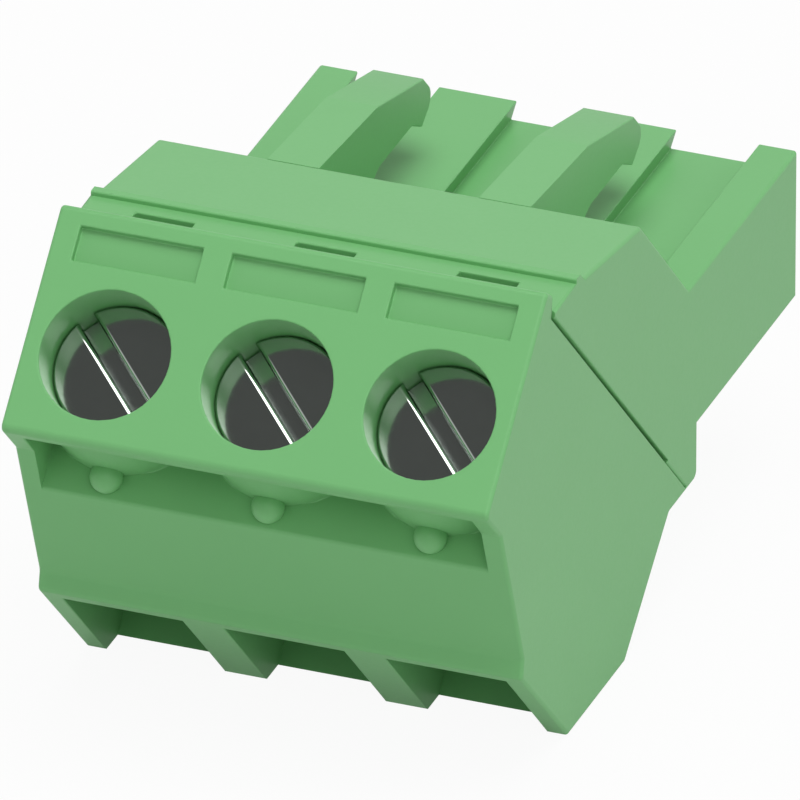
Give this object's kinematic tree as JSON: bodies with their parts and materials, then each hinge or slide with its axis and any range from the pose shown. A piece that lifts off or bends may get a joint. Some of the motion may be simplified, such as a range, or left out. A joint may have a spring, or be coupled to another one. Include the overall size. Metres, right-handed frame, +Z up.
{
  "type": "pluggable terminal block",
  "caption": "Plug-in terminal block for a board header, with leaning screw clamps and wire entries, a coded nose and two latch arms.",
  "frame": {"origin": "middle of the underside: the centre of the bounding box, at its bottom", "axes": "+Y along the plugging direction, out of the nose; +Z up, square to the nose; +X to the right seen from the screw side, along the row of positions"},
  "size_m": [0.0152, 0.026, 0.0157],
  "materials": {
    "housing": "satin moulded plastic",
    "screw": "bright plated steel",
    "sleeve": "plated steel",
    "bar": "tin-plated copper alloy",
    "spring": "tin-plated copper alloy sheet"
  },
  "bodies": {
    "plug_body": {"terminal_housing": "housing", "plug_housing": "housing", "contact_bar_1": "bar", "contact_bar_2": "bar", "contact_bar_3": "bar", "contact_spring_1": "spring", "contact_spring_2": "spring", "contact_spring_3": "spring"},
    "screw_1": {"clamp_screw_1": "screw"},
    "sleeve_1": {"clamp_sleeve_1": "sleeve"},
    "screw_2": {"clamp_screw_2": "screw"},
    "sleeve_2": {"clamp_sleeve_2": "sleeve"},
    "screw_3": {"clamp_screw_3": "screw"},
    "sleeve_3": {"clamp_sleeve_3": "sleeve"}
  },
  "joints": [
    {"name": "screw_1_turn", "type": "hinge", "parent": "plug_body", "child": "screw_1", "pos_m": [-0.00508, -0.01114, 0.01277], "axis": [0, 0.7071, -0.7071], "range_deg": [0, 1620]},
    {"name": "sleeve_1_slide", "type": "slide", "parent": "plug_body", "child": "sleeve_1", "axis": [0, -0.7071, 0.7071], "range_m": [0, 0.00225]},
    {"name": "screw_2_turn", "type": "hinge", "parent": "plug_body", "child": "screw_2", "pos_m": [0, -0.01114, 0.01277], "axis": [0, 0.7071, -0.7071], "range_deg": [0, 1620]},
    {"name": "sleeve_2_slide", "type": "slide", "parent": "plug_body", "child": "sleeve_2", "axis": [0, -0.7071, 0.7071], "range_m": [0, 0.00225]},
    {"name": "screw_3_turn", "type": "hinge", "parent": "plug_body", "child": "screw_3", "pos_m": [0.00508, -0.01114, 0.01277], "axis": [0, 0.7071, -0.7071], "range_deg": [0, 1620]},
    {"name": "sleeve_3_slide", "type": "slide", "parent": "plug_body", "child": "sleeve_3", "axis": [0, -0.7071, 0.7071], "range_m": [0, 0.00225]}
  ],
  "couplings": [
    {"joint": "screw_1_turn", "follows": "sleeve_1_slide", "rad_per_m": 12566},
    {"joint": "screw_2_turn", "follows": "sleeve_2_slide", "rad_per_m": 12566},
    {"joint": "screw_3_turn", "follows": "sleeve_3_slide", "rad_per_m": 12566}
  ]
}
